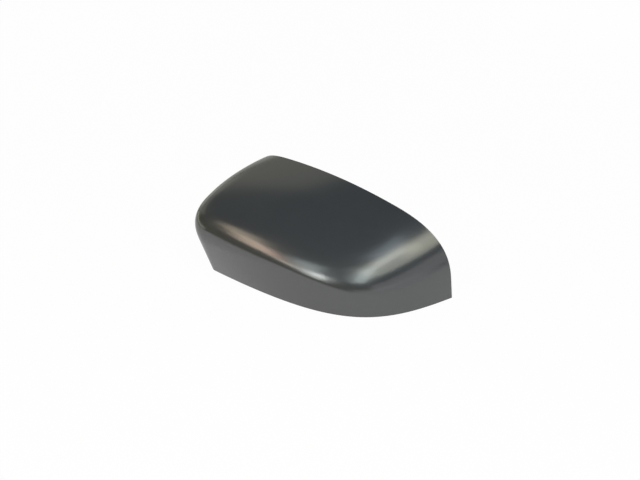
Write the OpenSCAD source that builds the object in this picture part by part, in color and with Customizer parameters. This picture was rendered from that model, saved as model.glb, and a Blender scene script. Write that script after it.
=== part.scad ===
// Cover of a wing mirror: one moulded shell that lies on its rim with its crown upwards.
// The rim is drawn in the plane z = 0, the trimmed side stands in a plane across Y.
// Millimetres. The origin is in the rim's plane, under the middle of the cover's footprint.

/* [Rim] */
// Length of the rim, from the front left datum to the right end of the trim
rim_len = 203; // [190:1:215]
// Distance from the front left datum to the trimmed side
trim_y = 98; // [90:0.5:106]
// Distance that the rim's left end stands in from the datum at the trim
trim_left_in = 9; // [5:0.5:12]
// Place along the rim of the sharp corner that the left side and the front would meet in
corner_x = -3; // [-4:0.5:1]
// Place across the rim of this corner
corner_y = 13.5; // [10:0.5:16]
// Length that the rounding of this corner takes from each side
corner_round = 7.5; // [5:0.5:12]
// Outward bow of the left side
left_bow = 1; // [0:0.5:3]
// Where the front sweep's first handle stands, as a share of the rim's length
front_pull = 0.725; // [0.7:0.005:0.78]
// How far that handle stands out in front of the datum
front_out = 4; // [2:0.5:7]
// Where the shoulder's handle stands, as a share of the rim's length
shoulder_pull = 0.86; // [0.82:0.005:0.88]
// How far the shoulder's handle stands behind the datum
shoulder_in = 19; // [14:0.5:23]

/* [Wall lean] */
// Lean of the wall at the left end of the trim, in degrees, inwards as it rises
lean_left = -15; // [-18:0.5:0]
// Lean at the front left corner
lean_corner = -23.5; // [-25:0.5:0]
// Lean in the middle of the front
lean_front = -4.5; // [-8:0.5:4]
// Lean at the shoulder
lean_shoulder = 14.5; // [6:0.5:16]
// Lean at the right end of the trim
lean_right = 5.5; // [0:0.5:9]

/* [Edge between wall and crown] */
// Reach of the soft edge down the wall, as a share of the wall's height, at the left end of the trim
edge_wall_left = 0.31; // [0.2:0.01:0.42]
// The same at the front left corner
edge_wall_corner = 0.57; // [0.4:0.01:0.65]
// The same in the middle of the front
edge_wall_front = 0.11; // [0.03:0.01:0.2]
// The same at the shoulder
edge_wall_shoulder = 0.54; // [0.4:0.01:0.65]
// The same at the right end of the trim
edge_wall_right = 0.73; // [0.6:0.01:0.8]
// Length of the soft edge over the crown at the left end of the trim
edge_crown_left = 41; // [30:1:46]
// The same at the front left corner
edge_crown_corner = 30.5; // [24:0.5:36]
// The same in the middle of the front
edge_crown_front = 35; // [20:1:40]
// The same at the shoulder
edge_crown_shoulder = 42; // [30:1:46]
// The same at the right end of the trim
edge_crown_right = 65.5; // [50:0.5:70]

/* [Crown] */
// Height of the crown over the rim's plane, at its peak on the trimmed side
crown_h = 86.3; // [80:0.1:90]
// Place of this peak, as a share of the rim's length
crown_peak = 0.14; // [0.11:0.01:0.2]
// Fall of the crown from its peak to the right end of the trim
end_fall = 32.5; // [28:0.5:34]
// Fall that the crown's slope gives its front
slope_fall = 20; // [16:0.5:22]
// Fall that the crown's bow adds there
bow_fall = 15; // [12:0.5:17]
// Fall that the front right corner has besides
corner_fall = 30.5; // [25:0.5:34]

/* [Shell] */
// Thickness of the moulded wall
wall = 2.5; // [2:0.1:3]
// Thickness of the thin lip that seats in the housing's groove, round the rim
lip_t = 1.5; // [1:0.1:1.8]
// Height of this lip
lip_h = 4; // [2:0.5:5]
// Thickness of the wall at the edge of the trimmed side
trim_t = 1.6; // [1.2:0.1:2]
// Length over which the wall grows from this thickness to its full one
trim_taper = 8; // [5:0.5:12]

/* [Catches on the wall] */
// Width of a catch along the wall
catch_w = 12; // [8:0.5:16]
// How far a catch stands off the wall
catch_out = 2.4; // [1.5:0.1:3.5]
// Height of a catch's ledge over the rim's plane
catch_z = 8; // [6:0.5:10]
// Height of the catch's nose above its ledge
catch_nose = 2; // [1:0.5:3]
// Height of the ramp above the nose
catch_ramp = 5; // [3:0.5:7]

/* [Clips under the crown] */
// Width of a clip's arm
clip_w = 10; // [7:0.5:14]
// Thickness of the arm
clip_t = 2; // [1.6:0.1:2.6]
// Length of the arm below the crown
clip_len = 24; // [18:0.5:30]
// How far the hook at its tip stands out
clip_hook = 2; // [1.2:0.1:3]
// Length of the hook's lead-in slope
clip_lead = 3; // [2:0.5:5]
// Thickness of the hook
clip_nose = 1.5; // [1:0.5:3]
// Size of the gusset at the arm's root
clip_gusset = 8; // [5:0.5:11]
// Distance of the outer clips from the trimmed side
clip_in = 24; // [20:1:28]
// Distance of the middle clip from the trimmed side
clip_front_in = 54; // [48:1:58]

/* [Locating pegs] */
// Radius of a peg
peg_r = 3; // [2.5:0.1:3.5]
// Length of a peg below its boss
peg_len = 11; // [8:0.5:14]
// Radius of the boss that carries the peg
boss_r = 5; // [4.2:0.1:6]
// Length of the boss below the crown
boss_len = 12; // [8:0.5:16]
// Reach of the boss's fins at the crown
fin_out = 6; // [3:0.5:8]
// Depth of a fin's outer edge below the crown's middle
fin_edge = 1; // [0.5:0.5:2]
// Place of the left peg, as a share of the rim's length
peg_left = 0.24; // [0.2:0.01:0.29]
// Place of the right peg, as a share of the rim's length
peg_right = 0.61; // [0.56:0.01:0.65]
// Distance of the pegs from the trimmed side
peg_in = 40; // [34:1:46]

/* [Webs] */
// Thickness of a stiffening web
web_t = 1.5; // [1.2:0.1:2]
// Greatest depth of the webs across the soft edge
web_h = 7; // [4:0.5:9]
// Depth of the long bead beside the trimmed side
bead_h = 3; // [2:0.5:4]
// Distance of this bead from the trimmed side
bead_in = 12; // [10:0.5:16]

/* [Hidden] */

// Rim

function mix(a, b, t) = a + (b - a) * t;
function unit(v) = v / norm(v);
// Point at t on the Bezier curve through any number of handles
function bezier(p, t) =
    len(p) == 1 ? p[0] : bezier([for (i = [0:len(p) - 2]) mix(p[i], p[i + 1], t)], t);
// Value at t of the smooth curve that five key values shape, at equal steps from 0 to 1
function spline(key, t) =
    let (
        n = len(key) - 1,
        q = [2 * key[0] - key[1], each key, 2 * key[n] - key[n - 1]],
        i = min(floor(t * n), n - 1),
        f = t * n - i
    )
    (pow(1 - f, 3) * q[i] + (3 * pow(f, 3) - 6 * f * f + 4) * q[i + 1]
        + (3 * f - 3 * pow(f, 3) + 3 * f * f + 1) * q[i + 2] + pow(f, 3) * q[i + 3]) / 6;

left_steps = 12;
corner_steps = 12;
front_steps = 54;
last = left_steps + corner_steps + front_steps;

trim_left = [trim_left_in, trim_y];
trim_right = [rim_len, trim_y];
corner = [corner_x, corner_y];
left_side = [trim_left, mix(trim_left, corner, 0.5) - [2 * left_bow, 0], corner];
front_side = [
    corner,
    [rim_len * front_pull, -front_out],
    [rim_len * shoulder_pull, shoulder_in],
    trim_right
];
left_dir = unit(left_side[2] - left_side[1]);
front_dir = unit(front_side[1] - front_side[0]);
left_end = 1 - corner_round / norm(2 * (left_side[2] - left_side[1]));
front_start = corner_round / norm(3 * (front_side[1] - front_side[0]));
round_in = bezier(left_side, left_end);
round_out = bezier(front_side, front_start);
// The corner's curve leaves the straight sides with no step in its bend
corner_handle = 0.43 * corner_round;
corner_reach = 1.9;
corner_curve = [
    round_in,
    round_in + left_dir * corner_handle,
    round_in + left_dir * corner_reach * corner_handle,
    round_out - front_dir * corner_reach * corner_handle,
    round_out - front_dir * corner_handle,
    round_out
];
rim = [
    for (i = [0:left_steps - 1]) bezier(left_side, left_end * i / left_steps),
    for (i = [0:corner_steps - 1]) bezier(corner_curve, i / corner_steps),
    for (i = [0:front_steps]) bezier(front_side, mix(front_start, 1, i / front_steps))
];
run = [for (i = 0, s = 0; i <= last; i = i + 1, s = i > last ? s : s + norm(rim[i] - rim[i - 1])) s];
share = run / run[last];

// Direction into the cover at each point of the rim, turned along X close to the trim
trim_ease = 30;
function ease(d) = pow(max(0, 1 - d / trim_ease), 2);
function along(i) = unit(rim[min(i + 1, last)] - rim[max(i - 1, 0)]);
function square_in(i) = [-along(i).y, along(i).x];
inward = [
    for (i = [0:last])
        unit(square_in(i) * (1 - ease(run[i]) - ease(run[last] - run[i]))
            + [1, 0] * ease(run[i]) - [1, 0] * ease(run[last] - run[i]))
];

// Outer surface

leans = [lean_left, lean_corner, lean_front, lean_shoulder, lean_right];
edge_walls = [
    edge_wall_left, edge_wall_corner, edge_wall_front, edge_wall_shoulder, edge_wall_right
];
edge_crowns = [
    edge_crown_left, edge_crown_corner, edge_crown_front, edge_crown_shoulder, edge_crown_right
];
// The sections meet the trim between these two shares of the rim's length
spine_left = 0.3;
spine_right = 0.63;
// Length of the handles of the soft edge's curve, as a share of its reach
edge_pull = 0.38;
// Steps of a section over the soft edge and over the crown, and its rows where these start and end
edge_steps = 16;
crown_steps = 10;
edge_row = 3;
crown_row = edge_row + edge_steps;
top_row = crown_row + crown_steps;

// Crown, by the shares of the way from its peak to the right end, a, and from the trim to the front, d
peak_x = crown_peak * rim_len;
end_run = rim_len - peak_x;
function crown_z(x, y) =
    let (a = (x - peak_x) / end_run, d = 1 - y / trim_y)
    crown_h - end_fall * a * a - slope_fall * d - bow_fall * d * d - corner_fall * a * d;
function crown_normal(x, y) =
    let (a = (x - peak_x) / end_run, d = 1 - y / trim_y)
    unit([
        (2 * end_fall * a + corner_fall * d) / end_run,
        -(slope_fall + 2 * bow_fall * d + corner_fall * a) / trim_y,
        1
    ]);
// Height at which the leaning wall would meet the crown
function crest_z(r, w, k, z = crown_h / 2, n = 14) =
    n == 0 ? z : crest_z(r, w, k, crown_z(r.x + w.x * k * z, r.y + w.y * k * z), n - 1);
// Point of the crown at a distance from c in the plan direction g
function on_crown(c, g, d) =
    let (x = c.x + g.x * d, y = c.y + g.y * d) [x, y, crown_z(x, y)];
// Section at a station: up the leaning wall, round the soft edge and over the crown to the trim
function section(i) =
    let (
        r = rim[i],
        w = inward[i],
        k = tan(spline(leans, share[i])),
        ec = spline(edge_crowns, share[i]),
        cz = crest_z(r, w, k),
        base = [r.x, r.y, 0],
        rise = [w.x * k, w.y * k, 1],
        c = base + rise * cz,
        lip = base + rise * lip_h,
        foot = mix(c, base, spline(edge_walls, share[i])),
        s = [mix(spine_left, spine_right, share[i]) * rim_len, trim_y],
        reach = norm([s.x - c.x, s.y - c.y]),
        g = [s.x - c.x, s.y - c.y] / reach,
        head = on_crown(c, g, ec),
        n = crown_normal(head.x, head.y),
        q = unit([g.x, g.y, -(n.x * g.x + n.y * g.y) / n.z]) * norm(head - c) * edge_pull,
        f = (c - foot) * edge_pull,
        edge = [foot, foot + f, foot + 2 * f, head - 2 * q, head - q, head]
    )
    [
        base,
        lip,
        mix(lip, foot, 0.5),
        for (j = [0:edge_steps]) bezier(edge, j / edge_steps),
        for (j = [1:crown_steps]) on_crown(c, g, mix(ec, reach, j / crown_steps))
    ];
outer = [for (i = [0:last]) section(i)];

// Inner surface: the outer one moved in by the wall, staying in the rim's and the trim's planes

function normal(i, j) =
    j >= crown_row ? crown_normal(outer[i][j].x, outer[i][j].y)
    : unit(cross(
        outer[min(i + 1, last)][j] - outer[max(i - 1, 0)][j],
        outer[i][j + 1] - outer[i][max(j - 1, 0)]
    ));
// Depth of the inner surface: the wall, thinner towards the edge of the trimmed side
function depth(p) = mix(trim_t, wall, min(1, (trim_y - p.y) / trim_taper));
// The way from the outer point p to the inner one, level with the trim where it is close to it
function way_in(p, n) = [n.x, n.y * min(1, (trim_y - p.y) / trim_taper), n.z];
function moved(p, m, n, t) = p - m * t / (m * n);
function flat(v) = [v.x, v.y, 0];
function under(i, j, t) =
    let (p = outer[i][j], n = normal(i, j)) moved(p, way_in(p, n), n, t);
function level_under(i, j, t) =
    let (p = outer[i][j], n = normal(i, 1)) moved(p, flat(way_in(p, n)), n, t);
inner = [
    for (i = [0:last]) [
        level_under(i, 0, lip_t),
        level_under(i, 1, lip_t),
        level_under(i, 1, depth(outer[i][1])),
        for (j = [2:top_row]) under(i, j, depth(outer[i][j]))
    ]
];

module shell() {
    rows = top_row + 1;
    inner_rows = rows + 1;
    base = (last + 1) * rows;
    half = floor(last / 2);
    points = [
        for (i = [0:last]) each outer[i],
        for (i = [0:last]) each inner[i]
    ];
    function o(i, j) = i * rows + j;
    function n(i, j) = base + i * inner_rows + j;
    function past_lip(j) = j < 2 ? j : j + 1;
    outer_faces = [
        for (i = [0:last - 1], j = [0:top_row - 1])
            each i < half
                ? [[o(i, j), o(i, j + 1), o(i + 1, j)], [o(i, j + 1), o(i + 1, j + 1), o(i + 1, j)]]
                : [[o(i, j), o(i, j + 1), o(i + 1, j + 1)], [o(i, j), o(i + 1, j + 1), o(i + 1, j)]]
    ];
    inner_faces = [
        for (i = [0:last - 1], j = [0:top_row])
            each i < half
                ? [[n(i, j), n(i + 1, j), n(i, j + 1)], [n(i, j + 1), n(i + 1, j), n(i + 1, j + 1)]]
                : [[n(i, j), n(i + 1, j + 1), n(i, j + 1)], [n(i, j), n(i + 1, j), n(i + 1, j + 1)]]
    ];
    rim_faces = [for (i = [0:last - 1]) [o(i, 0), o(i + 1, 0), n(i + 1, 0), n(i, 0)]];
    spine_faces = [
        for (i = [0:last - 1])
            [o(i + 1, top_row), o(i, top_row), n(i, top_row + 1), n(i + 1, top_row + 1)]
    ];
    left_faces = [
        for (j = [0:top_row - 1])
            j == 1 ? [o(0, 2), o(0, 1), n(0, 1), n(0, 2), n(0, 3)]
            : [o(0, j + 1), o(0, j), n(0, past_lip(j)), n(0, past_lip(j + 1))]
    ];
    right_faces = [
        for (j = [0:top_row - 1])
            j == 1 ? [o(last, 1), o(last, 2), n(last, 3), n(last, 2), n(last, 1)]
            : [o(last, j), o(last, j + 1), n(last, past_lip(j + 1)), n(last, past_lip(j))]
    ];
    polyhedron(
        points,
        concat(outer_faces, inner_faces, rim_faces, spine_faces, left_faces, right_faces),
        convexity = 8
    );
}

// Solid between two rows of points, as thick as t in the plan direction d
module web(deep, shallow, d, t) {
    n = len(deep) - 1;
    side = [d.x, d.y, 0] * t / 2;
    points = [
        for (j = [0:n]) each [deep[j] - side, deep[j] + side, shallow[j] + side, shallow[j] - side]
    ];
    faces = [
        for (j = [0:n - 1], c = [0:3])
            let (a = 4 * j + c, b = 4 * j + (c + 1) % 4)
            each [[a, b, a + 4], [b, b + 4, a + 4]],
        [3, 2, 1, 0],
        [4 * n, 4 * n + 1, 4 * n + 2, 4 * n + 3]
    ];
    polyhedron(points, faces);
}

// Depths of a web's two long edges at its ends, in the wall
web_end = 0.75 * wall;
web_root = wall / 2;
// First station at or past a share of the way round the rim
function station(t) = len([for (s = share) if (s < t) s]);
// Web across the soft edge at a station, standing on the wall's middle
module edge_web(i) {
    first = 2;
    n = crown_row - first;
    web(
        [for (j = [0:n]) under(i, first + j, web_end + web_h * sin(180 * j / n))],
        [for (j = [0:n]) under(i, first + j, web_root)],
        along(i),
        web_t
    );
}
// Long low bead under the crown, parallel to the trimmed side
module trim_bead() {
    n = 20;
    y = trim_y - bead_in;
    function under_crown(x, t) = [x, y, crown_z(x, y)] - crown_normal(x, y) * t;
    xs = [for (j = [0:n]) mix(bead_left, bead_right, j / n) * rim_len];
    web(
        [for (j = [0:n]) under_crown(xs[j], web_end + bead_h * sqrt(sin(180 * j / n)))],
        [for (j = [0:n]) under_crown(xs[j], web_root)],
        [0, -1],
        web_t
    );
}

// Catch inside the wall at a station: a ledge that faces the rim, with a ramp above it
module wall_catch(i) {
    w = inward[i];
    k = tan(spline(leans, share[i]));
    function middle(z) = wall / 2 + k * z;
    function face(z) = wall + k * z;
    nose_z = catch_z + catch_nose;
    ramp_z = nose_z + catch_ramp;
    translate([rim[i].x, rim[i].y, 0])
        rotate([0, 0, atan2(w.y, w.x)])
            rotate([90, 0, 0])
                linear_extrude(catch_w, center = true)
                    polygon([
                        [middle(catch_z), catch_z],
                        [face(catch_z) + catch_out, catch_z],
                        [face(nose_z) + catch_out, nose_z],
                        [face(ramp_z), ramp_z],
                        [middle(ramp_z), ramp_z]
                    ]);
}

// What follows stands in a frame whose origin is the middle of the crown's wall at a place in plan,
// with X uphill
module on_slope(x, y) {
    n = crown_normal(x, y);
    translate([x, y, crown_z(x, y) - wall / 2 / n.z])
        rotate([0, 0, atan2(-n.y, -n.x)])
            children();
}
function slope(x, y) = let (n = crown_normal(x, y)) norm([n.x, n.y]) / n.z;
// Arm that hangs from the crown and ends in a hook
module crown_clip(x, y) {
    m = slope(x, y);
    h = clip_t / 2;
    back = -h - clip_gusset;
    on_slope(x, y)
        rotate([90, 0, 0])
            linear_extrude(clip_w, center = true)
                polygon([
                    [back, m * back],
                    [-h, m * back - clip_gusset],
                    [-h, -clip_len],
                    [h, -clip_len],
                    [h + clip_hook, clip_lead - clip_len],
                    [h + clip_hook, clip_lead + clip_nose - clip_len],
                    [h, clip_lead + clip_nose - clip_len],
                    [h, m * h]
                ]);
}
// Boss with four fins under the crown, and the round peg on it
module locating_peg(x, y) {
    tilt = atan(slope(x, y));
    top = boss_len + boss_r;
    reach = 2 * (boss_r + fin_out);
    on_slope(x, y) {
        translate([0, 0, -boss_len - peg_len])
            cylinder(h = peg_len + boss_len / 2, r = peg_r, $fn = 48);
        intersection() {
            translate([0, 0, -boss_len]) {
                cylinder(h = top, r = boss_r, $fn = 48);
                for (a = [0:90:270])
                    rotate([90, 0, a])
                        linear_extrude(web_t, center = true)
                            polygon([
                                [0, 0],
                                [boss_r, 0],
                                [boss_r + fin_out, boss_len - fin_edge],
                                [boss_r + fin_out, top],
                                [0, top]
                            ]);
            }
            rotate([0, -tilt, 0])
                translate([-reach, -reach, -2 * reach])
                    cube(2 * reach);
        }
    }
}

module fittings() {
    for (t = web_shares)
        edge_web(station(t));
    trim_bead();
    for (t = catch_shares)
        wall_catch(station(t));
    for (place = clip_places)
        crown_clip(place.x, place.y);
    for (t = [peg_left, peg_right])
        locating_peg(t * rim_len, trim_y - peg_in);
}

// Where the fittings stand: shares of the way round the rim, then shares of the rim's length
web_shares = [0.13, 0.33, 0.42, 0.51, 0.6, 0.69, 0.8];
catch_shares = [0.07, 0.19, 0.375, 0.555, 0.745, 0.92];
clip_left = 0.12;
clip_right = 0.735;
bead_left = 0.15;
bead_right = 0.735;
clip_places = [
    [clip_left * rim_len, trim_y - clip_in],
    [mix(peg_left, peg_right, 0.5) * rim_len, trim_y - clip_front_in],
    [clip_right * rim_len, trim_y - clip_in]
];

all_x = [for (s = outer, p = s) p.x];
all_y = [for (s = outer, p = s) p.y];
footprint = [(min(all_x) + max(all_x)) / 2, (min(all_y) + max(all_y)) / 2];

module mirror_cover() {
    color("#3a3d40")
        translate([-footprint.x, -footprint.y, 0])
            union() {
                shell();
                fittings();
            }
}

mirror_cover();
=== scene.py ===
"""Cover of a car's wing mirror in satin dark grey primer, lying on its rim on a white floor."""

import math

import bpy
from mathutils import Matrix, Vector


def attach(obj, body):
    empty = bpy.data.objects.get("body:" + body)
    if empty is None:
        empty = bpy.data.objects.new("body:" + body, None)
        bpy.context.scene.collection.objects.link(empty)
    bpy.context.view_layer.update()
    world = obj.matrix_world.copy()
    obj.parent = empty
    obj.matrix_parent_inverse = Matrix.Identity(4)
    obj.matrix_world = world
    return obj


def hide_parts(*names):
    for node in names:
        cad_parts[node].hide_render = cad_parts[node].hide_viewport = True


bl_info = {
    "name": "Wing mirror cover",
    "version": (1, 0, 0),
    "blender": (4, 5, 0),
    "location": "3D View > Sidebar > Mirror cover",
    "description": "Models the moulded cover of a wing mirror, with its inner fittings and a white studio",
    "category": "Add Mesh",
}

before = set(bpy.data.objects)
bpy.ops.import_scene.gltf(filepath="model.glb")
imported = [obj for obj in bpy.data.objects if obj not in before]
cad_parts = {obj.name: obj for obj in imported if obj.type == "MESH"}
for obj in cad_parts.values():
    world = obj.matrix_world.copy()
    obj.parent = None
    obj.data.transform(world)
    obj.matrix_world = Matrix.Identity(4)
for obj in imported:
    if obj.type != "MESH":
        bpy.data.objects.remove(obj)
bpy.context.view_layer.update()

MM = 0.001
PIECE = "mirror_cover_moulding"


# Settings that a user would change


def length(name, mm, description):
    return bpy.props.FloatProperty(name=name, description=description, default=mm * MM, unit="LENGTH")


def share(name, value, description):
    return bpy.props.FloatProperty(name=name, description=description, default=value, min=0, max=1)


def five_lengths(name, mm, description):
    return bpy.props.FloatVectorProperty(
        name=name, description=description, size=5, default=[v * MM for v in mm], unit="LENGTH"
    )


def five_shares(name, values, description):
    return bpy.props.FloatVectorProperty(
        name=name, description=description, size=5, default=values, min=0, max=1
    )


def colour(name, value, description):
    return bpy.props.FloatVectorProperty(
        name=name, description=description, size=3, default=value, subtype="COLOR", min=0, max=1
    )


class RimSizes(bpy.types.PropertyGroup):
    length: length("Length", 203, "From the front left datum to the right end of the trim")
    trim_y: length("Trim distance", 98, "From the front left datum to the trimmed side")
    trim_left_in: length("Left end in", 9, "How far the rim's left end stands in from the datum")
    corner_x: length("Corner along", -3, "Place along the rim of the sharp corner before rounding")
    corner_y: length("Corner across", 13.5, "Place across the rim of the sharp corner before rounding")
    corner_round: length("Corner rounding", 7.5, "Length that the rounding takes from each side")
    left_bow: length("Left bow", 1, "Outward bow of the left side")
    front_pull: share("Front handle", 0.725, "Place of the front sweep's handle, as a share of the length")
    front_out: length("Front handle out", 4, "How far that handle stands out in front")
    shoulder_pull: share("Shoulder handle", 0.86, "Place of the shoulder's handle, as such a share")
    shoulder_in: length("Shoulder handle in", 19, "How far the shoulder's handle stands behind the datum")
    trim_ease: length("Turn at the trim", 30, "Rim at each end over which the sections turn along X")


class WallSizes(bpy.types.PropertyGroup):
    leans: bpy.props.FloatVectorProperty(
        name="Leans",
        description="Inward lean of the wall at the left end, corner, front, shoulder and right end",
        size=5,
        default=[math.radians(v) for v in (-15, -23.5, -4.5, 14.5, 5.5)],
        unit="ROTATION",
    )
    edge_walls: five_shares(
        "Edge down the wall",
        (0.31, 0.57, 0.11, 0.54, 0.73),
        "Soft edge's reach down the wall, as shares of its height",
    )
    edge_crowns: five_lengths(
        "Edge over the crown", (41, 30.5, 35, 42, 65.5), "Soft edge's reach over the crown"
    )
    edge_pull: share("Edge handle", 0.38, "How long the soft edge's handles are, as a share of its reach")
    wall: length("Wall", 2.5, "Thickness of the moulded wall")
    lip_t: length("Lip thickness", 1.5, "Thickness of the lip round the rim")
    lip_h: length("Lip height", 4, "Height of the lip")
    trim_t: length("Trim thickness", 1.6, "Thickness of the wall at the trimmed edge")
    trim_taper: length("Trim taper", 8, "Length over which the wall grows to its full thickness")
    free_edge: length("Free edge", 0.25, "Rounding of the moulding's free edges")


class CrownSizes(bpy.types.PropertyGroup):
    height: length("Height", 86.3, "Height of the crown's peak, on the trimmed side")
    peak: share("Peak", 0.14, "Place of the peak, as a share of the rim's length")
    end_fall: length("End fall", 32.5, "Fall of the crown from its peak to the right end of the trim")
    slope_fall: length("Slope fall", 20, "Fall that the crown's slope gives its front")
    bow_fall: length("Bow fall", 15, "Fall that the crown's bow adds there")
    corner_fall: length("Corner fall", 30.5, "Fall that the front right corner has besides")
    spine_left: share("Spine left", 0.3, "Where the first sections meet the trim, as a share of the length")
    spine_right: share("Spine right", 0.63, "Where the last sections meet it, as such a share")


class FittingSizes(bpy.types.PropertyGroup):
    web_t: length("Web thickness", 1.5, "Thickness of a stiffening web")
    web_h: length("Web depth", 7, "Greatest depth of the webs across the soft edge")
    bead_h: length("Bead depth", 3, "Depth of the long bead beside the trimmed side")
    bead_in: length("Bead in", 12, "Distance of this bead from the trimmed side")
    bead_left: share("Bead left", 0.15, "Left end of the bead, as a share of the rim's length")
    bead_right: share("Bead right", 0.735, "Right end of the bead, as a share of the rim's length")
    catch_w: length("Catch width", 12, "Width of a catch along the wall")
    catch_out: length("Catch out", 2.4, "How far a catch stands off the wall")
    catch_z: length("Catch height", 8, "Height of a catch's ledge over the rim's plane")
    catch_nose: length("Catch nose", 2, "Height of the catch's nose above its ledge")
    catch_ramp: length("Catch ramp", 5, "Height of the ramp above the nose")
    clip_w: length("Clip width", 10, "Width of a clip's arm")
    clip_t: length("Clip thickness", 2, "Thickness of the arm")
    clip_len: length("Clip length", 24, "Length of the arm below the crown")
    clip_hook: length("Clip hook", 2, "How far the hook stands out")
    clip_lead: length("Clip lead-in", 3, "Length of the hook's lead-in slope")
    clip_nose: length("Clip nose", 1.5, "Thickness of the hook")
    clip_gusset: length("Clip gusset", 8, "Size of the gusset at the arm's root")
    clip_left: share("Left clip", 0.12, "Place of the left clip, as a share of the rim's length")
    clip_right: share("Right clip", 0.735, "Place of the right clip, as a share of the rim's length")
    clip_in: length("Clips in", 24, "Distance of the outer clips from the trimmed side")
    clip_front_in: length("Middle clip in", 54, "Distance of the middle clip from the trimmed side")
    peg_r: length("Peg radius", 3, "Radius of a locating peg")
    peg_len: length("Peg length", 11, "Length of a peg below its boss")
    peg_tip: length("Peg tip", 0.8, "Chamfer round the peg's tip")
    boss_r: length("Boss radius", 5, "Radius of the boss that carries the peg")
    boss_len: length("Boss length", 12, "Length of the boss below the crown")
    fin_out: length("Fin reach", 6, "Reach of the boss's fins at the crown")
    fin_edge: length("Fin edge", 1, "Depth of a fin's outer edge below the crown's middle")
    peg_left: share("Left peg", 0.24, "Place of the left peg, as a share of the rim's length")
    peg_right: share("Right peg", 0.61, "Place of the right peg, as a share of the rim's length")
    peg_in: length("Pegs in", 40, "Distance of the pegs from the trimmed side")
    soft_edge: length("Soft edge", 0.3, "Rounding of the fittings' edges")


class FinishSettings(bpy.types.PropertyGroup):
    primer: colour("Primer", (0.048, 0.050, 0.052), "Colour of the satin primer outside")
    raw: colour("Raw plastic", (0.034, 0.035, 0.036), "Colour of the bare moulded plastic inside")
    primer_roughness: share("Primer roughness", 0.203, "Roughness of the primer")
    raw_roughness: share("Raw roughness", 0.46, "Roughness of the bare plastic")


class StudioSettings(bpy.types.PropertyGroup):
    azimuth: bpy.props.FloatProperty(
        name="Azimuth",
        description="Camera's place round the cover",
        default=math.radians(35.446),
        unit="ROTATION",
    )
    elevation: bpy.props.FloatProperty(
        name="Elevation",
        description="Camera's height over the horizon",
        default=math.radians(29.627),
        unit="ROTATION",
    )
    distance: length("Distance", 1090.8, "From the camera to the point it looks at")
    target: bpy.props.FloatVectorProperty(
        name="Target",
        description="Point that the camera looks at",
        size=3,
        default=(8.05 * MM, 0.95 * MM, 35 * MM),
        subtype="XYZ",
        unit="LENGTH",
    )
    lens: bpy.props.FloatProperty(name="Lens", description="Focal length in millimetres", default=69.46)
    floor_size: length("Floor", 9000, "Side of the floor")
    floor_white: share("Plain white", 0.97, "Plain white part of the floor's look; the rest is matt")


# The loft that the cover's surface is taken from, as in the part's source


def mix(a, b, t):
    return a + (b - a) * t


def bezier(handles, t):
    """Point at t of the Bezier curve through any number of handles."""
    while len(handles) > 1:
        handles = [mix(a, b, t) for a, b in zip(handles, handles[1:])]
    return handles[0]


def spline(keys, t):
    """Value at t of the smooth curve that five key values shape, at equal steps from 0 to 1."""
    n = len(keys) - 1
    q = [2 * keys[0] - keys[1], *keys, 2 * keys[n] - keys[n - 1]]
    i = min(int(t * n), n - 1)
    f = t * n - i
    weights = ((1 - f) ** 3, 3 * f**3 - 6 * f * f + 4, 3 * f - 3 * f**3 + 3 * f * f + 1, f**3)
    return sum(w * q[i + k] for k, w in enumerate(weights)) / 6


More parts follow.
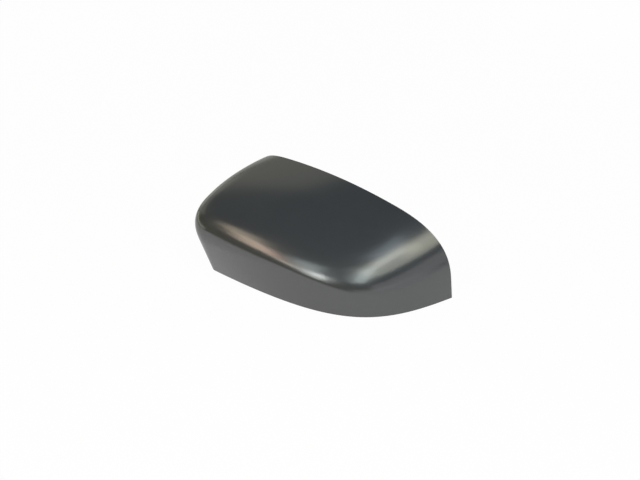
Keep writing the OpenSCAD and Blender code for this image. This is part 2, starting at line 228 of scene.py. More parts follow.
class Loft:
    """Rim curve, leaning wall, soft edge and crown, with stations from the trim's left end to its right."""

    LEFT_STATIONS = 12
    CORNER_STATIONS = 12
    FRONT_STATIONS = 54
    LAST = LEFT_STATIONS + CORNER_STATIONS + FRONT_STATIONS
    FINE = 4
    CORNER_PULL = 0.43
    CORNER_REACH = 1.9
    RIM_STEP = 0.1
    NORMAL_STEP = 0.002
    CREST_ROUNDS = 20

    def __init__(self, rim, walls, crown):
        self.rim = rim
        self.walls = walls
        self.crown = crown
        trim_left = Vector((rim.trim_left_in, rim.trim_y))
        trim_right = Vector((rim.length, rim.trim_y))
        corner = Vector((rim.corner_x, rim.corner_y))
        self.left_side = [trim_left, mix(trim_left, corner, 0.5) - Vector((2 * rim.left_bow, 0)), corner]
        self.front_side = [
            corner,
            Vector((rim.length * rim.front_pull, -rim.front_out)),
            Vector((rim.length * rim.shoulder_pull, rim.shoulder_in)),
            trim_right,
        ]
        left_leg = self.left_side[2] - self.left_side[1]
        front_leg = self.front_side[1] - self.front_side[0]
        self.left_end = 1 - rim.corner_round / (2 * left_leg.length)
        self.front_start = rim.corner_round / (3 * front_leg.length)
        start = bezier(self.left_side, self.left_end)
        end = bezier(self.front_side, self.front_start)
        handle = self.CORNER_PULL * rim.corner_round
        in_dir = left_leg.normalized() * handle
        out_dir = front_leg.normalized() * handle
        self.corner_curve = [
            start,
            start + in_dir,
            start + in_dir * self.CORNER_REACH,
            end - out_dir * self.CORNER_REACH,
            end - out_dir,
            end,
        ]
        self.runs = [0.0]
        points = [self.rim_point(k / self.FINE) for k in range(self.LAST * self.FINE + 1)]
        for a, b in zip(points, points[1:]):
            self.runs.append(self.runs[-1] + (b - a).length)

    def rim_point(self, i):
        if i < self.LEFT_STATIONS:
            return bezier(self.left_side, self.left_end * i / self.LEFT_STATIONS)
        i -= self.LEFT_STATIONS
        if i < self.CORNER_STATIONS:
            return bezier(self.corner_curve, i / self.CORNER_STATIONS)
        i -= self.CORNER_STATIONS
        return bezier(self.front_side, mix(self.front_start, 1, i / self.FRONT_STATIONS))

    def run(self, i):
        """Length of rim from the trim's left end to station i."""
        k = min(int(i * self.FINE), len(self.runs) - 2)
        return mix(self.runs[k], self.runs[k + 1], i * self.FINE - k)

    def share(self, i):
        return self.run(i) / self.runs[-1]

    def station(self, t):
        """First whole station at or past a share of the way round the rim."""
        return next(i for i in range(self.LAST + 1) if self.share(i) >= t)

    def along(self, i):
        ahead = self.rim_point(min(i + self.RIM_STEP, self.LAST))
        behind = self.rim_point(max(i - self.RIM_STEP, 0))
        return (ahead - behind).normalized()

    def inward(self, i):
        """Direction into the cover, turned along X close to the trim."""

        def ease(distance):
            return max(0, 1 - distance / self.rim.trim_ease) ** 2

        at_left = ease(self.run(i))
        at_right = ease(self.runs[-1] - self.run(i))
        a = self.along(i)
        square = Vector((-a.y, a.x))
        return (square * (1 - at_left - at_right) + Vector((at_left - at_right, 0))).normalized()

    def lean(self, i):
        return math.tan(spline(self.walls.leans, self.share(i)))

    def crown_shares(self, x, y):
        """Shares of the way from the peak to the right end, and from the trim to the front."""
        peak_x = self.crown.peak * self.rim.length
        return (x - peak_x) / (self.rim.length - peak_x), 1 - y / self.rim.trim_y

    def crown_z(self, x, y):
        c = self.crown
        a, d = self.crown_shares(x, y)
        return c.height - c.end_fall * a * a - c.slope_fall * d - c.bow_fall * d * d - c.corner_fall * a * d

    def crown_normal(self, x, y):
        c = self.crown
        a, d = self.crown_shares(x, y)
        slope_x = (2 * c.end_fall * a + c.corner_fall * d) / (self.rim.length * (1 - c.peak))
        slope_y = (c.slope_fall + 2 * c.bow_fall * d + c.corner_fall * a) / self.rim.trim_y
        return Vector((slope_x, -slope_y, 1)).normalized()

    def on_crown(self, start, way, distance):
        x, y = start.xy + way * distance
        return Vector((x, y, self.crown_z(x, y)))

    def section(self, i, rows):
        """Points of the outer surface at station i, for rows of (part of the section, place in it)."""
        walls = self.walls
        r = self.rim_point(i)
        k = self.lean(i)
        edge_crown = spline(walls.edge_crowns, self.share(i))
        base = Vector((*r, 0))
        rise = Vector((*(self.inward(i) * k), 1))
        z = self.crown.height / 2
        for _ in range(self.CREST_ROUNDS):
            z = self.crown_z(*(r + rise.xy * z))
        crest = base + rise * z
        foot = mix(crest, base, spline(walls.edge_walls, self.share(i)))
        spine_place = mix(self.crown.spine_left, self.crown.spine_right, self.share(i))
        spine = Vector((spine_place * self.rim.length, self.rim.trim_y))
        reach = (spine - crest.xy).length
        way = (spine - crest.xy) / reach
        head = self.on_crown(crest, way, edge_crown)
        n = self.crown_normal(head.x, head.y)
        over = Vector((*way, -n.xy.dot(way) / n.z)).normalized()
        up_pull = (crest - foot) * walls.edge_pull
        over_pull = over * (head - crest).length * walls.edge_pull
        edge = [foot, foot + up_pull, foot + up_pull * 2, head - over_pull * 2, head - over_pull, head]
        points = []
        for part, place in rows:
            if part == "lip":
                points.append(base + rise * place)
            elif part == "wall":
                points.append(mix(base + rise * walls.lip_h, foot, place))
            elif part == "edge":
                points.append(bezier(edge, place))
            else:
                points.append(self.on_crown(crest, way, mix(edge_crown, reach, place)))
        return points

    def thickness(self, p):
        """The wall, thinner towards the edge of the trimmed side."""
        return mix(self.walls.trim_t, self.walls.wall, self.trim_share(p))

    def trim_share(self, p):
        """0 in the trim's plane, growing to 1 where the taper ends."""
        return min(1, (self.rim.trim_y - p.y) / self.walls.trim_taper)

    def moved_in(self, p, normal, depth, level):
        """Outer point p moved inwards, kept in the trim's plane there and, where level, at its height."""
        way = normal.copy()
        way.y *= self.trim_share(p)
        if level:
            way.z = 0
        return p - way * depth / way.dot(normal)

    def under(self, i, row, depth):
        """Point at a depth under the outer surface, at station i and a row of its section."""
        part, place = row
        step = self.NORMAL_STEP
        here = self.section(i, [row])[0]
        if part == "crown":
            normal = self.crown_normal(here.x, here.y)
        else:
            ahead = self.section(min(i + step, self.LAST), [row])[0]
            behind = self.section(max(i - step, 0), [row])[0]
            over, below = self.section(i, [(part, place + step), (part, place - step)])
            normal = (ahead - behind).cross(over - below).normalized()
        return self.moved_in(here, normal, depth, level=False)


# Modelling helpers

EDGE_SAMPLES = 16


def edge_rows(first):
    """A first row and evenly spaced rows over the soft edge."""
    return [first, *[("edge", j / EDGE_SAMPLES) for j in range(EDGE_SAMPLES + 1)]]


def sizes():
    scene = bpy.context.scene
    return scene.cover_rim, scene.cover_walls, scene.cover_crown, scene.cover_fittings


def deselect_all():
    bpy.ops.object.select_all(action="DESELECT")


def select_only(*objects):
    deselect_all()
    for obj in objects:
        obj.select_set(True)
    bpy.context.view_layer.objects.active = objects[0]


def edit(obj, *steps):
    """Runs edit-mode steps on all of an object's mesh."""
    select_only(obj)
    bpy.ops.object.mode_set(mode="EDIT")
    bpy.ops.mesh.select_all(action="SELECT")
    for step in steps:
        step()
    bpy.ops.object.mode_set(mode="OBJECT")


def extruded(way):
    return lambda: bpy.ops.mesh.extrude_region_move(TRANSFORM_OT_translate={"value": way})


def outwards():
    bpy.ops.mesh.select_all(action="SELECT")
    bpy.ops.mesh.normals_make_consistent(inside=False)


def apply_modifier(obj, kind, **settings):
    select_only(obj)
    modifier = obj.modifiers.new(kind.title(), kind)
    for key, value in settings.items():
        setattr(modifier, key, value)
    bpy.ops.object.modifier_apply(modifier=modifier.name)


SHARP_ANGLE = math.radians(40)


def soften(obj, width, segments=2):
    apply_modifier(
        obj,
        "BEVEL",
        width=width,
        segments=segments,
        limit_method="ANGLE",
        angle_limit=SHARP_ANGLE,
        use_clamp_overlap=True,
    )


def unite(obj, other):
    """Unites another closed mesh into obj's and removes it."""
    apply_modifier(obj, "BOOLEAN", operation="UNION", solver="MANIFOLD", object=other)
    bpy.data.objects.remove(other)
    return obj


def net(name, points):
    """Grid primitive whose corners are laid on rows of points."""
    columns = len(points) - 1
    rows = len(points[0]) - 1
    deselect_all()
    bpy.ops.mesh.primitive_grid_add(x_subdivisions=columns, y_subdivisions=rows, size=1, align="WORLD")
    obj = bpy.context.active_object
    obj.name = name
    for v in obj.data.vertices:
        i = round((v.co.x + 0.5) * columns)
        j = round((v.co.y + 0.5) * rows)
        v.co = points[i][j]
    return obj


def prism(name, outline, width):
    """Filled circle primitive drawn to an outline in X and Z, and extruded to its width along Y."""
    deselect_all()
    bpy.ops.mesh.primitive_circle_add(vertices=len(outline), fill_type="NGON")
    obj = bpy.context.active_object
    obj.name = name
    for v, (x, z) in zip(obj.data.vertices, outline):
        v.co = (x, -width / 2, z)
    edit(obj, extruded((0, width, 0)), outwards)
    return obj


def placed(obj, matrix):
    """Applies a place and turn to the object's mesh, with the cover's footprint centred on the origin."""
    select_only(obj)
    obj.matrix_world = Matrix.Translation(-footprint()) @ matrix
    bpy.ops.object.transform_apply(location=True, rotation=True, scale=True)
    return obj


def footprint():
    """Middle of the footprint, measured from the front left datum."""
    loft = Loft(*sizes()[:3])
    rows = edge_rows(("lip", 0))
    points = [p for i in range(Loft.LAST + 1) for p in loft.section(i, rows)]
    xs = [p.x for p in points]
    ys = [p.y for p in points]
    return Vector(((min(xs) + max(xs)) / 2, (min(ys) + max(ys)) / 2, 0))


def paint(obj, material):
    obj.data.materials.clear()
    obj.data.materials.append(material)
    return obj


# Finishes


class Nodes:
    """Short way to add and join the nodes of a new material or world."""

    def __init__(self, owner):
        owner.use_nodes = True
        self.tree = owner.node_tree
        self.tree.nodes.clear()

    def add(self, kind, values=(), **settings):
        """Adds a node, sets its attributes, and gives each named socket a value or a link."""
        node = self.tree.nodes.new("ShaderNode" + kind)
        for key, value in settings.items():
            setattr(node, key, value)
        for socket, value in dict(values).items():
            if isinstance(value, bpy.types.NodeSocket):
                self.tree.links.new(value, node.inputs[socket])
            else:
                node.inputs[socket].default_value = value
        return node


def rgba(value):
    return (*value, 1)


CLOUD_SCALE = 34
SPECK_SCALE = 2600
RIPPLE_SCALE = 620
NOISE_LOW = 0.3
NOISE_HIGH = 0.7
FLECK = 0.06
GLOSS_SPREAD = 0.02
PEEL_DEPTH = 0.1 * MM
PORE_DEPTH = 0.03 * MM
SATIN_IOR = 1.84


def finish_material(name, base, roughness, mottle, grain, orange_peel):
    """Satin plastic: slightly mottled colour, uneven gloss, fine grain and a paint's soft orange peel."""
    n = Nodes(bpy.data.materials.new(name))
    place = n.add("TexCoord").outputs["Object"]
    clouds = n.add("TexNoise", {"Vector": place, "Scale": CLOUD_SCALE, "Detail": 4, "Roughness": 0.6})
    specks = n.add("TexNoise", {"Vector": place, "Scale": SPECK_SCALE, "Detail": 2, "Roughness": 0.5})
    ripples = n.add("TexNoise", {"Vector": place, "Scale": RIPPLE_SCALE, "Detail": 2, "Roughness": 0.45})
    mottled = n.add(
        "MixRGB",
        {
            "Fac": clouds.outputs["Fac"],
            "Color1": rgba([c * (1 - mottle) for c in base]),
            "Color2": rgba([c * (1 + mottle) for c in base]),
        },
    )
    flecked = n.add(
        "MapRange",
        {
            "Value": specks.outputs["Fac"],
            "From Min": NOISE_LOW,
            "From Max": NOISE_HIGH,
            "To Min": 1 - FLECK,
            "To Max": 1 + FLECK,
        },
    )
    tint = n.add(
        "MixRGB",
        {"Fac": 1, "Color1": mottled.outputs["Color"], "Color2": flecked.outputs["Result"]},
        blend_type="MULTIPLY",
    )
    gloss = n.add(
        "MapRange",
        {
            "Value": clouds.outputs["Fac"],
            "From Min": NOISE_LOW,
            "From Max": NOISE_HIGH,
            "To Min": roughness - GLOSS_SPREAD,
            "To Max": roughness + GLOSS_SPREAD,
        },
    )
    peel = n.add("Bump", {"Height": ripples.outputs["Fac"], "Strength": orange_peel, "Distance": PEEL_DEPTH})
    pores = n.add(
        "Bump",
        {
            "Height": specks.outputs["Fac"],
            "Strength": grain,
            "Distance": PORE_DEPTH,
            "Normal": peel.outputs["Normal"],
        },
    )
    shader = n.add(
        "BsdfPrincipled",
        {
            "Base Color": tint.outputs["Color"],
            "Roughness": gloss.outputs["Result"],
            "IOR": SATIN_IOR,
            "Normal": pores.outputs["Normal"],
        },
    )
    n.add("OutputMaterial", {"Surface": shader.outputs["BSDF"]})


# Operators


class MIRRORCOVER_OT_finishes(bpy.types.Operator):
    """Makes the primer of the outside and the bare plastic of the inside"""

    bl_idname = "mirrorcover.finishes"
    bl_label = "Finishes"

    def execute(self, context):
        s = context.scene.cover_finish
        finish_material(
            "satin_primer", s.primer, s.primer_roughness, mottle=0.05, grain=0.2, orange_peel=0.25
        )
        finish_material(
            "moulded_plastic", s.raw, s.raw_roughness, mottle=0.08, grain=0.5, orange_peel=0.1
        )
        return {"FINISHED"}


class MIRRORCOVER_OT_shell(bpy.types.Operator):
    """Lofts the outer and inner surfaces, bridges them round the free edges and softens those edges"""

    bl_idname = "mirrorcover.shell"
    bl_label = "Shell"

    STEPS_PER_STATION = 3
    SUPPORT = 0.25
    LIP_SUPPORT = 0.6 * MM
    LIP_ROWS = 4
    WALL_ROWS = (0.12, 0.3, 0.5, 0.7, 0.87)
    EDGE_ROWS = 40
    CROWN_ROWS = 24

    def execute(self, context):
        rim, walls, crown, _ = sizes()
        loft = Loft(rim, walls, crown)
        steps = self.STEPS_PER_STATION
        stations = [k / steps for k in range(steps * loft.LAST + 1)]
        stations[1:1] = [2 * self.SUPPORT / steps]
        stations[-1:-1] = [loft.LAST - self.SUPPORT / steps]
        rows = [
            ("lip", 0),
            ("lip", self.LIP_SUPPORT),
            ("lip", walls.lip_h - self.LIP_SUPPORT),
            ("lip", walls.lip_h),
            *[("wall", t) for t in self.WALL_ROWS],
            *[("edge", j / self.EDGE_ROWS) for j in range(self.EDGE_ROWS + 1)],
            *[("crown", j / self.CROWN_ROWS) for j in range(1, self.CROWN_ROWS)],
            ("crown", 1 - self.SUPPORT / self.CROWN_ROWS),
            ("crown", 1),
        ]
        crown_row = next(j for j, row in enumerate(rows) if row == ("edge", 1))
        outer = [loft.section(i, rows) for i in stations]
        inner = [self.inner_section(loft, outer, i, crown_row) for i in range(len(stations))]
        outside = net("outside", outer)
        inside = net("inside", inner)
        edit(inside, bpy.ops.mesh.flip_normals)
        paint(outside, bpy.data.materials["satin_primer"])
        paint(inside, bpy.data.materials["moulded_plastic"])
        select_only(outside, inside)
        bpy.ops.object.join()
        shell = bpy.context.active_object
        shell.name = PIECE
        edit(shell, self.bridge)
        placed(shell, Matrix.Identity(4))
        soften(shell, walls.free_edge)
        return {"FINISHED"}

    def inner_section(self, loft, outer, i, crown_row):
        """Inner points under the outer ones of section i, with a step in where the lip ends."""
        walls = loft.walls
        last_lip = self.LIP_ROWS - 1
        ahead = outer[min(i + 1, len(outer) - 1)]
        behind = outer[max(i - 1, 0)]
        here = outer[i]

        def normal(j):
            if j >= crown_row:
                return loft.crown_normal(here[j].x, here[j].y)
            return (ahead[j] - behind[j]).cross(here[j + 1] - here[max(j - 1, 0)]).normalized()

        lip_top = here[last_lip]
        return [
            loft.moved_in(here[0], normal(0), walls.lip_t, level=True),
            loft.moved_in(here[1], normal(1), walls.lip_t, level=True),
            loft.moved_in(lip_top, normal(last_lip), walls.lip_t, level=True),
            loft.moved_in(lip_top, normal(last_lip), loft.thickness(lip_top), level=True),
            *[
                loft.moved_in(here[j], normal(j), loft.thickness(here[j]), level=False)
                for j in range(self.LIP_ROWS, len(here))
            ],
        ]

    @staticmethod
    def bridge():
        bpy.ops.mesh.select_all(action="DESELECT")
        bpy.ops.mesh.select_mode(type="EDGE")
        bpy.ops.mesh.select_non_manifold(
            extend=False, use_wire=False, use_boundary=True, use_multi_face=False
        )
        bpy.ops.mesh.bridge_edge_loops()


class MIRRORCOVER_OT_webs(bpy.types.Operator):
    """Adds the stiffening webs across the soft edge and the bead beside the trimmed side"""

    bl_idname = "mirrorcover.webs"
    bl_label = "Webs and bead"

    WEB_SHARES = (0.13, 0.33, 0.42, 0.51, 0.6, 0.69, 0.8)
    STEPS = 24
    ROOT_SHARE = 0.75

    def execute(self, context):
        rim, walls, crown, fit = sizes()
        loft = Loft(rim, walls, crown)
        shell = bpy.data.objects[PIECE]
        rows = edge_rows(("wall", 0.5))
        steps = len(rows) - 1
        root = walls.wall * self.ROOT_SHARE
        for t in self.WEB_SHARES:
            i = loft.station(t)
            deep = [
                loft.under(i, row, root + fit.web_h * math.sin(math.pi * j / steps))
                for j, row in enumerate(rows)
            ]
            shallow = [loft.under(i, row, walls.wall / 2) for row in rows]
            unite(shell, self.strip("web", deep, shallow, loft.along(i), fit))
        y = rim.trim_y - fit.bead_in
        deep = []
        shallow = []
        for j in range(self.STEPS + 1):
            x = mix(fit.bead_left, fit.bead_right, j / self.STEPS) * rim.length
            top = Vector((x, y, loft.crown_z(x, y)))
            depth = root + fit.bead_h * math.sqrt(max(0, math.sin(math.pi * j / self.STEPS)))
            deep.append(top - loft.crown_normal(x, y) * depth)
            shallow.append(top - loft.crown_normal(x, y) * walls.wall / 2)
        unite(shell, self.strip("bead", deep, shallow, Vector((0, -1)), fit))
        return {"FINISHED"}

    @staticmethod
    def strip(name, deep, shallow, way, fit):
        """Upright strip between two rows of points, extruded to its thickness."""
        side = Vector((*way, 0)) * fit.web_t
        obj = net(name, [[d - side / 2, s - side / 2] for d, s in zip(deep, shallow)])
        edit(obj, extruded(side), outwards)
        soften(obj, fit.soft_edge)
        paint(obj, bpy.data.materials["moulded_plastic"])
        return placed(obj, Matrix.Identity(4))


class MIRRORCOVER_OT_catches(bpy.types.Operator):
    """Adds the ramped catches inside the wall"""

    bl_idname = "mirrorcover.catches"
    bl_label = "Wall catches"

    CATCH_SHARES = (0.07, 0.19, 0.375, 0.555, 0.745, 0.92)

    def execute(self, context):
        rim, walls, crown, fit = sizes()
        loft = Loft(rim, walls, crown)
        nose_z = fit.catch_z + fit.catch_nose
        ramp_z = nose_z + fit.catch_ramp
        for t in self.CATCH_SHARES:
            i = loft.station(t)
            k = loft.lean(i)
            outline = [
                (walls.wall / 2 + k * fit.catch_z, fit.catch_z),
                (walls.wall + k * fit.catch_z + fit.catch_out, fit.catch_z),
                (walls.wall + k * nose_z + fit.catch_out, nose_z),
                (walls.wall + k * ramp_z, ramp_z),
                (walls.wall / 2 + k * ramp_z, ramp_z),
            ]
            catch = prism("catch", outline, fit.catch_w)
            soften(catch, fit.soft_edge)
            paint(catch, bpy.data.materials["moulded_plastic"])
            w = loft.inward(i)
            turn = Matrix.Rotation(math.atan2(w.y, w.x), 4, "Z")
            placed(catch, Matrix.Translation((*loft.rim_point(i), 0)) @ turn)
            unite(bpy.data.objects[PIECE], catch)
        return {"FINISHED"}


def slope_frame(loft, x, y):
    """Frame in the middle of the crown's wall, with X uphill and Z upright, and the slope there."""
    n = loft.crown_normal(x, y)
    height = loft.crown_z(x, y) - loft.walls.wall / 2 / n.z
    turn = Matrix.Rotation(math.atan2(-n.y, -n.x), 4, "Z")
    return Matrix.Translation((x, y, height)) @ turn, n.xy.length / n.z


class MIRRORCOVER_OT_clips(bpy.types.Operator):
    """Adds the three hooked arms under the crown"""

    bl_idname = "mirrorcover.clips"
    bl_label = "Crown clips"

    def execute(self, context):
        rim, walls, crown, fit = sizes()
        loft = Loft(rim, walls, crown)
        half = fit.clip_t / 2
        back = -half - fit.clip_gusset
        nose = fit.clip_lead + fit.clip_nose
        places = (
            (fit.clip_left, fit.clip_in),
            ((fit.peg_left + fit.peg_right) / 2, fit.clip_front_in),
            (fit.clip_right, fit.clip_in),
        )
        for x, y in [(place * rim.length, rim.trim_y - inset) for place, inset in places]:
            matrix, slope = slope_frame(loft, x, y)
            outline = [
                (back, slope * back),
                (-half, slope * back - fit.clip_gusset),
                (-half, -fit.clip_len),
                (half, -fit.clip_len),
                (half + fit.clip_hook, fit.clip_lead - fit.clip_len),
                (half + fit.clip_hook, nose - fit.clip_len),
                (half, nose - fit.clip_len),
                (half, slope * half),
            ]
            clip = prism("clip", outline, fit.clip_w)
            soften(clip, fit.soft_edge)
            paint(clip, bpy.data.materials["moulded_plastic"])
            placed(clip, matrix)
            unite(bpy.data.objects[PIECE], clip)
        return {"FINISHED"}


class MIRRORCOVER_OT_pegs(bpy.types.Operator):
    """Adds the two locating pegs on their finned bosses"""

    bl_idname = "mirrorcover.pegs"
    bl_label = "Locating pegs"

    ROD_SIDES = 64

    def execute(self, context):
        rim, walls, crown, fit = sizes()
        loft = Loft(rim, walls, crown)
        top = fit.boss_len + fit.boss_r
        out = fit.boss_r + fit.fin_out
        fin_outline = [
            (-out, top),
            (-out, fit.boss_len - fit.fin_edge),
            (-fit.boss_r, 0),
            (fit.boss_r, 0),
            (out, fit.boss_len - fit.fin_edge),
            (out, top),
        ]
        for place in (fit.peg_left, fit.peg_right):
            matrix, slope = slope_frame(loft, place * rim.length, rim.trim_y - fit.peg_in)
            boss = self.rod("boss", fit.boss_r, top, -fit.boss_len, fit.soft_edge)
            for angle in (0, math.pi / 2):
                fin = prism("fin", fin_outline, fit.web_t)
                soften(fin, fit.soft_edge)
                select_only(fin)
                down = Matrix.Translation((0, 0, -fit.boss_len))
                fin.matrix_world = down @ Matrix.Rotation(angle, 4, "Z")
                bpy.ops.object.transform_apply(location=True, rotation=True, scale=True)
                unite(boss, fin)
            edit(boss, lambda: self.cut_to_slope(slope))
            peg_reach = fit.peg_len + fit.boss_len / 2
            peg = self.rod("peg", fit.peg_r, peg_reach, -fit.boss_len - fit.peg_len, fit.peg_tip)
            unite(boss, peg)
            paint(boss, bpy.data.materials["moulded_plastic"])
            placed(boss, matrix)
            unite(bpy.data.objects[PIECE], boss)
        return {"FINISHED"}

    def rod(self, name, radius, height, bottom, chamfer):
        deselect_all()
        bpy.ops.mesh.primitive_cylinder_add(
            vertices=self.ROD_SIDES, radius=radius, depth=height, location=(0, 0, bottom + height / 2)
        )
        obj = bpy.context.active_object
        obj.name = name
        bpy.ops.object.transform_apply(location=True, rotation=True, scale=True)
        soften(obj, chamfer, segments=3)
        return obj

    @staticmethod
    def cut_to_slope(slope):
        """Cuts the boss off in the middle of the crown's wall."""
        bpy.ops.mesh.bisect(
            plane_co=(0, 0, 0), plane_no=(-slope, 0, 1), use_fill=True, clear_outer=True, clear_inner=False
        )


class MIRRORCOVER_OT_complete(bpy.types.Operator):
    """Smooths the finished moulding and fixes it to the frame in place of the CAD solid"""

    bl_idname = "mirrorcover.complete"
    bl_label = "Complete the moulding"

    SMOOTH_ANGLE = math.radians(32)

    def execute(self, context):
        cover = bpy.data.objects[PIECE]
        select_only(cover)
        bpy.ops.object.shade_smooth_by_angle(angle=self.SMOOTH_ANGLE)
        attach(cover, "root")
        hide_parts("mirror_cover")
        return {"FINISHED"}


def direction(azimuth, elevation):
    """Unit vector from the cover towards a place round it, counted from the front, and over its horizon."""
    flat = math.cos(elevation)
    return Vector((math.sin(azimuth) * flat, -math.cos(azimuth) * flat, math.sin(elevation)))


class MIRRORCOVER_OT_studio(bpy.types.Operator):
    """Adds the floor, the soft boxes, the world and the camera"""

    bl_idname = "mirrorcover.studio"
    bl_label = "Studio"

    CENTRE = Vector((6 * MM, 2 * MM, 35 * MM))
    DOME = 0.95
    MATT_WHITE = (0.95, 0.95, 0.95)
    WHITE = (1, 1, 1)
    WARM_SIDE = (0.125, 0.11, 0.04)
    COOL_SIDE = (0.05, 0.08, 0.13)
    COOL_WAY = (0.6, 0.4, 0.7)
    WARM_BELOW = -0.4
    COOL_ABOVE = 0.6
    SENSOR = 36
    SHIFT_X = -0.0084
    SHIFT_Y = 0.0182

    def execute(self, context):
        scene = context.scene
        s = scene.cover_studio
        self.floor(s)
        self.world(scene)
        self.lamps()
        self.camera(scene, s)
        scene.view_settings.view_transform = "Standard"
        return {"FINISHED"}

    def lamps(self):
        """Soft boxes in front and on the right, warmer ones on the left, and weak ones low and behind.

        Each has its two end directions, width, radiance and tint.
        """
        box = self.box
        box("warm_low", (-10, 37), (0, 29), 5.5, 5.4, (1.0, 0.87, 0.7))
        box("warm_right", (-11, 38), (-15, 50), 7, 2.6, (1.0, 0.56, 0.46))
        box("warm_box", (-20, 35), (-26, 54), 11, 4.4, (1.0, 0.79, 0.6))
        box("warm_wing", (-31, 50), (-43, 62), 11, 2.6, (1.0, 0.85, 0.63))
        box("front_low", (6, 14), (6, 26), 8, 5.0, (0.95, 1.0, 0.95))
        box("front_middle", (8.3, 26), (8.3, 38), 5, 16.6, (0.95, 1.0, 0.99))
        box("front_high", (5, 39), (2, 58), 7.5, 3.5, (0.86, 1.0, 1.0))
        box("right_box", (42, 51), (90, 51), 24, 2.2, (0.97, 1.0, 0.86))
        box("right_edge", (36.6, 33), (44.6, 58), 9, 4.6, (0.88, 1.0, 0.98))
        box("right_top", (48, 61), (86, 62), 10, 3.0, (0.99, 1.0, 0.93))
        box("right_end", (94, 38), (88, 59), 9, 3.0, (1.0, 0.98, 0.78))
        box("right_crest", (48, 70), (92, 73), 12, 1.6, (0.75, 0.9, 1.0))
        box("right_fill", (48, 16), (102, 17), 18, 0.7, (1.0, 0.97, 0.98))
        box("low_right", (30, 4.4), (95, 4.4), 12, 0.8, (1.0, 1.0, 1.0))
        box("low_left", (-140, 15), (-98, 15), 24, 0.75, (1.0, 1.0, 0.95))
        box("low_front", (-95, 8), (-40, 8), 8, 1.4, (1.0, 1.0, 0.85))
        box("side_left", (-118, 28), (-80, 24), 30, 0.45, (1.0, 1.0, 0.9))
        box("back_left", (-140, 38), (-112, 50), 30, 0.47, (1.0, 0.96, 0.75))
        box("back_fill", (150, 14), (200, 14), 22, 1.5, (1.0, 1.0, 1.0))

    def box(self, name, start, end, width, strength, tint):
        """Soft box on a dome round the cover, between two directions; angles are in degrees."""
        first = direction(*map(math.radians, start))
        second = direction(*map(math.radians, end))
        middle = (first + second).normalized()
        run = (second / second.dot(middle) - first / first.dot(middle)) * self.DOME
        across = run.cross(middle).normalized()
        deselect_all()
        bpy.ops.object.light_add(type="AREA", location=self.CENTRE + middle * self.DOME)
        lamp = bpy.context.active_object
        lamp.name = name
        lamp.rotation_euler = Matrix((across, run.normalized(), middle)).transposed().to_euler()
        lamp.data.shape = "RECTANGLE"
        lamp.data.size = 2 * self.DOME * math.tan(math.radians(width) / 2)
        lamp.data.size_y = run.length
        lamp.data.energy = math.pi * lamp.data.size * lamp.data.size_y * strength
        lamp.data.color = tint

    def floor(self, s):
        """White where it is seen directly or in a gloss, and matt for the shadow and the light it gives."""
        deselect_all()
        bpy.ops.mesh.primitive_plane_add(size=s.floor_size)
        floor = bpy.context.active_object
        floor.name = "studio_floor"
        material = bpy.data.materials.new("white_floor")
        n = Nodes(material)
        path = n.add("LightPath")
        seen = path.outputs["Is Camera Ray"]
        for ray in ("Is Glossy Ray", "Is Transmission Ray"):
            seen = n.add("Math", {0: seen, 1: path.outputs[ray]}, operation="MAXIMUM").outputs[0]
        part = n.add("Math", {0: seen, 1: s.floor_white}, operation="MULTIPLY")
        matt = n.add("BsdfDiffuse", {"Color": rgba(self.MATT_WHITE)})
        white = n.add("Emission", {"Color": rgba(self.WHITE), "Strength": 1})
        both = n.add("MixShader", {0: part.outputs[0], 1: matt.outputs[0], 2: white.outputs[0]})
        n.add("OutputMaterial", {"Surface": both.outputs[0]})
        floor.data.materials.append(material)

    def world(self, scene):
        """Dim room, warm on the left and cool towards the upper right, with a white backdrop."""
        world = bpy.data.worlds.new("studio_world")
        scene.world = world
        n = Nodes(world)
        path = n.add("LightPath")
        place = n.add("TexCoord").outputs["Generated"]
        side = n.add("VectorMath", {0: place, 1: self.COOL_WAY}, operation="DOT_PRODUCT")
        coolness = n.add(
            "MapRange",
            {"Value": side.outputs["Value"], "From Min": self.WARM_BELOW, "From Max": self.COOL_ABOVE},
        )
        tint = n.add(
            "MixRGB",
            {
                "Fac": coolness.outputs["Result"],
                "Color1": rgba(self.WARM_SIDE),
                "Color2": rgba(self.COOL_SIDE),
            },
        )
        dim = n.add("Background", {"Color": tint.outputs["Color"]})
        white = n.add("Background", {"Color": rgba(self.WHITE)})
        both = n.add(
            "MixShader", {0: path.outputs["Is Camera Ray"], 1: dim.outputs[0], 2: white.outputs[0]}
        )
        n.add("OutputWorld", {"Surface": both.outputs[0]})

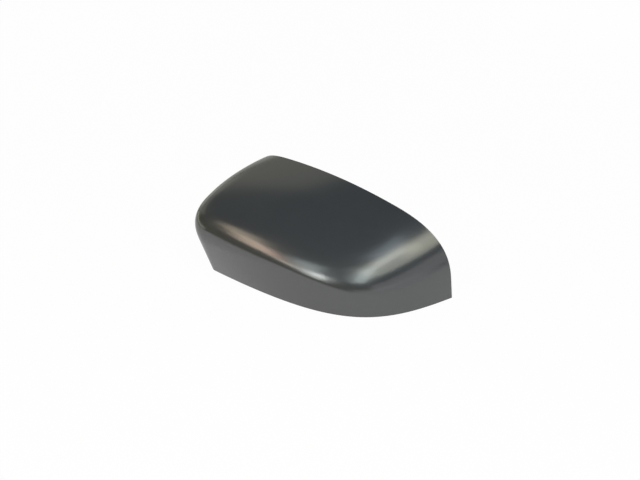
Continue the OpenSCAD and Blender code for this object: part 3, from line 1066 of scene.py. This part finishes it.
    def camera(self, scene, s):
        back = direction(s.azimuth, s.elevation)
        deselect_all()
        bpy.ops.object.camera_add(location=Vector(s.target) + back * s.distance)
        camera = bpy.context.active_object
        camera.name = "photo_camera"
        camera.rotation_euler = back.to_track_quat("Z", "Y").to_euler()
        camera.data.lens = s.lens
        camera.data.sensor_width = self.SENSOR
        camera.data.shift_x = self.SHIFT_X
        camera.data.shift_y = self.SHIFT_Y
        scene.camera = camera


class VIEW3D_PT_mirror_cover(bpy.types.Panel):
    """Lists the cover's sizes, finishes and operators"""

    bl_label = "Wing mirror cover"
    bl_space_type = "VIEW_3D"
    bl_region_type = "UI"
    bl_category = "Mirror cover"

    def draw(self, context):
        for attribute, _ in SETTINGS:
            group = getattr(context.scene, attribute)
            box = self.layout.box()
            for key in group.bl_rna.properties.keys():
                if key not in ("rna_type", "name"):
                    box.prop(group, key)
        for operator in OPERATORS:
            self.layout.operator(operator.bl_idname)


SETTINGS = (
    ("cover_rim", RimSizes),
    ("cover_walls", WallSizes),
    ("cover_crown", CrownSizes),
    ("cover_fittings", FittingSizes),
    ("cover_finish", FinishSettings),
    ("cover_studio", StudioSettings),
)
OPERATORS = (
    MIRRORCOVER_OT_finishes,
    MIRRORCOVER_OT_shell,
    MIRRORCOVER_OT_webs,
    MIRRORCOVER_OT_catches,
    MIRRORCOVER_OT_clips,
    MIRRORCOVER_OT_pegs,
    MIRRORCOVER_OT_complete,
    MIRRORCOVER_OT_studio,
)


def register():
    for attribute, group in SETTINGS:
        bpy.utils.register_class(group)
        setattr(bpy.types.Scene, attribute, bpy.props.PointerProperty(type=group))
    for cls in (*OPERATORS, VIEW3D_PT_mirror_cover):
        bpy.utils.register_class(cls)


def unregister():
    for cls in (VIEW3D_PT_mirror_cover, *reversed(OPERATORS)):
        bpy.utils.unregister_class(cls)
    for attribute, group in reversed(SETTINGS):
        delattr(bpy.types.Scene, attribute)
        bpy.utils.unregister_class(group)


def main():
    register()
    for operator in OPERATORS:
        group, name = operator.bl_idname.split(".")
        getattr(getattr(bpy.ops, group), name)()


if __name__ == "__main__":
    main()
